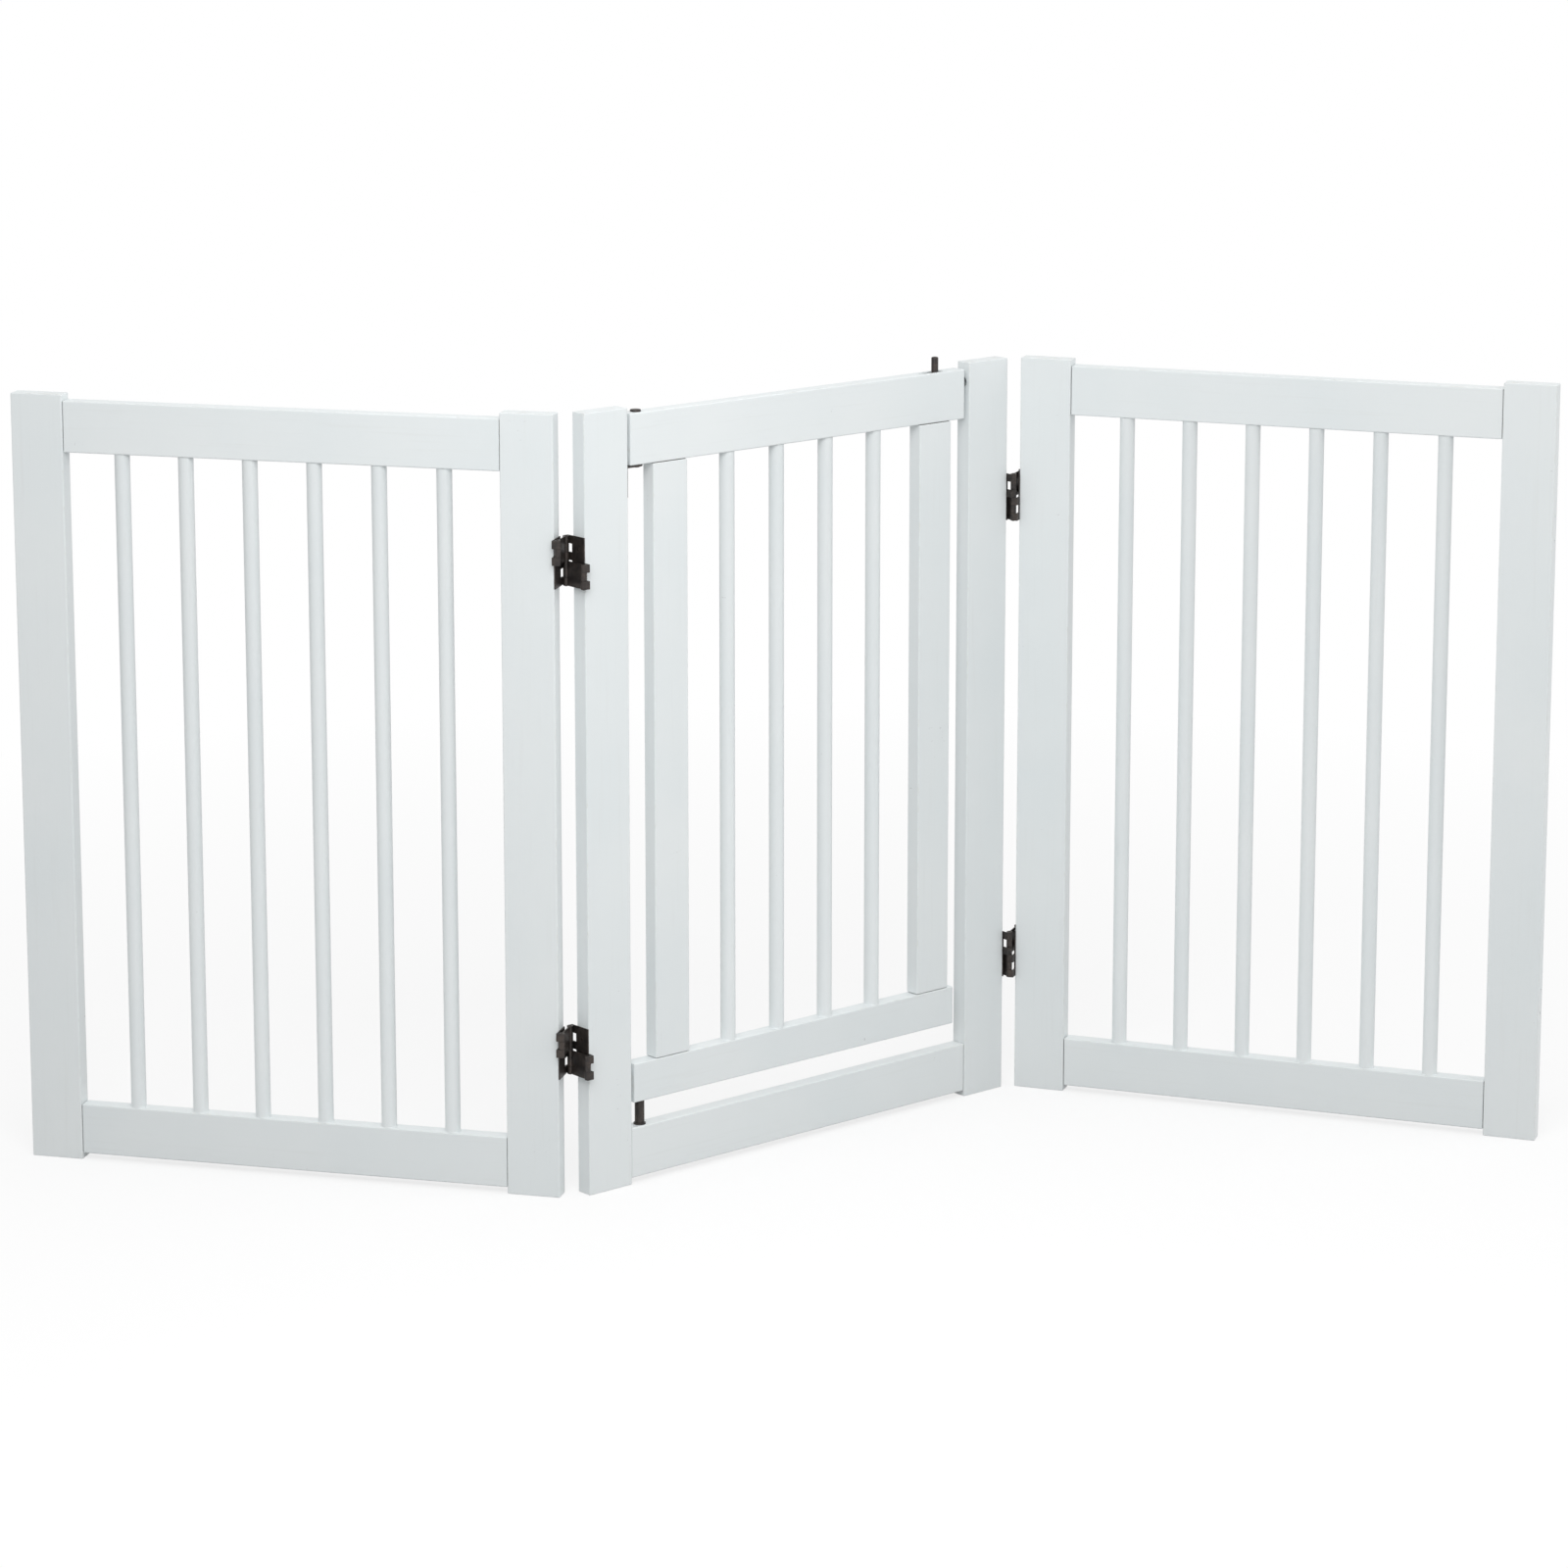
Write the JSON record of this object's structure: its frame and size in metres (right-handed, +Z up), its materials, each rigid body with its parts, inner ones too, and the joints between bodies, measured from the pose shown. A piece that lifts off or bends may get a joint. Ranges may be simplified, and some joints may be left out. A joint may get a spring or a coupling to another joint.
{
  "type": "folding pet gate",
  "caption": "Free-standing folding gate of slatted panels for pets, painted white, with two-way hinges and a latched door in the middle panel.",
  "frame": {"origin": "On the floor, at the bottom centre of the box round the folded gate as stored. The middle of the doorway is 22.8 mm from it along X and 15.0 mm along Y.", "axes": "+X along the middle panel from the post that carries the door to the post that it latches to, +Y towards the rear, where the door opens, +Z up"},
  "size_m": [1.1749, 0.9463, 0.771],
  "materials": {
    "painted_wood": "satin white paint",
    "bare_wood": "bare",
    "dark_metal": "black, satin"
  },
  "bodies": {
    "centre_frame": {"centre_left_post": "painted_wood", "centre_right_post": "painted_wood", "centre_dowels": "bare_wood", "centre_left_top_leaf": "dark_metal", "centre_left_low_leaf": "dark_metal", "centre_right_top_leaf": "dark_metal", "centre_right_low_leaf": "dark_metal", "centre_hinge_pins": "dark_metal", "centre_hinge_screws": "dark_metal", "threshold_rail": "painted_wood", "pivot_bracket": "dark_metal", "bracket_screws": "dark_metal", "low_pivot_pin": "dark_metal"},
    "door": {"door_top_rail": "painted_wood", "door_low_rail": "painted_wood", "door_left_stile": "painted_wood", "door_right_stile": "painted_wood", "door_spindle_1": "painted_wood", "door_spindle_2": "painted_wood", "door_spindle_3": "painted_wood", "door_spindle_4": "painted_wood", "door_dowels": "bare_wood", "top_pivot_pin": "dark_metal"},
    "latch_bolt": {"latch_bolt": "dark_metal", "latch_knob": "dark_metal"},
    "left_lower_links": {"left_lower_links": "dark_metal"},
    "left_upper_links": {"left_upper_links": "dark_metal"},
    "right_lower_links": {"right_lower_links": "dark_metal"},
    "right_upper_links": {"right_upper_links": "dark_metal"},
    "left_panel": {"left_inner_post": "painted_wood", "left_outer_post": "painted_wood", "left_top_rail": "painted_wood", "left_bottom_rail": "painted_wood", "left_spindle_1": "painted_wood", "left_spindle_2": "painted_wood", "left_spindle_3": "painted_wood", "left_spindle_4": "painted_wood", "left_spindle_5": "painted_wood", "left_spindle_6": "painted_wood", "left_dowels": "bare_wood", "left_top_leaf": "dark_metal", "left_low_leaf": "dark_metal", "left_hinge_pins": "dark_metal", "left_hinge_screws": "dark_metal"},
    "right_panel": {"right_inner_post": "painted_wood", "right_outer_post": "painted_wood", "right_top_rail": "painted_wood", "right_bottom_rail": "painted_wood", "right_spindle_1": "painted_wood", "right_spindle_2": "painted_wood", "right_spindle_3": "painted_wood", "right_spindle_4": "painted_wood", "right_spindle_5": "painted_wood", "right_spindle_6": "painted_wood", "right_dowels": "bare_wood", "right_top_leaf": "dark_metal", "right_low_leaf": "dark_metal", "right_hinge_pins": "dark_metal", "right_hinge_screws": "dark_metal"}
  },
  "joints": [
    {"name": "door_swing", "type": "hinge", "parent": "centre_frame", "child": "door", "pos_m": [-0.17967, 0.01501, 0], "axis": [0, 0, 1], "range_deg": [0, 90]},
    {"name": "latch_slide", "type": "slide", "parent": "door", "child": "latch_bolt", "axis": [1, 0, 0], "range_m": [-0.016, 0.005]},
    {"name": "left_reverse_fold", "type": "hinge", "parent": "centre_frame", "child": "left_lower_links", "pos_m": [-0.25367, 0.00151, 0], "axis": [0, 0, 1], "range_deg": [0, 170]},
    {"name": "left_fold", "type": "hinge", "parent": "left_lower_links", "child": "left_panel", "pos_m": [-0.25367, 0.02851, 0], "axis": [0, 0, 1], "range_deg": [-125.2, 54.8]},
    {"name": "left_upper_turn", "type": "hinge", "parent": "left_panel", "child": "left_upper_links", "pos_m": [-0.27574, 0.01294, 0], "axis": [0, 0, 1], "range_deg": [-170, 0]},
    {"name": "right_reverse_fold", "type": "hinge", "parent": "centre_frame", "child": "right_lower_links", "pos_m": [0.29933, 0.02851, 0], "axis": [0, 0, 1], "range_deg": [0, 140]},
    {"name": "right_fold", "type": "hinge", "parent": "right_lower_links", "child": "right_panel", "pos_m": [0.29933, 0.00151, 0], "axis": [0, 0, 1], "range_deg": [-119.4, 60.6]},
    {"name": "right_upper_turn", "type": "hinge", "parent": "right_panel", "child": "right_upper_links", "pos_m": [0.32285, 0.01476, 0], "axis": [0, 0, 1], "range_deg": [-140, 0]}
  ],
  "couplings": [
    {"joint": "left_upper_turn", "follows": "left_reverse_fold", "ratio": -1},
    {"joint": "right_upper_turn", "follows": "right_reverse_fold", "ratio": -1}
  ]
}
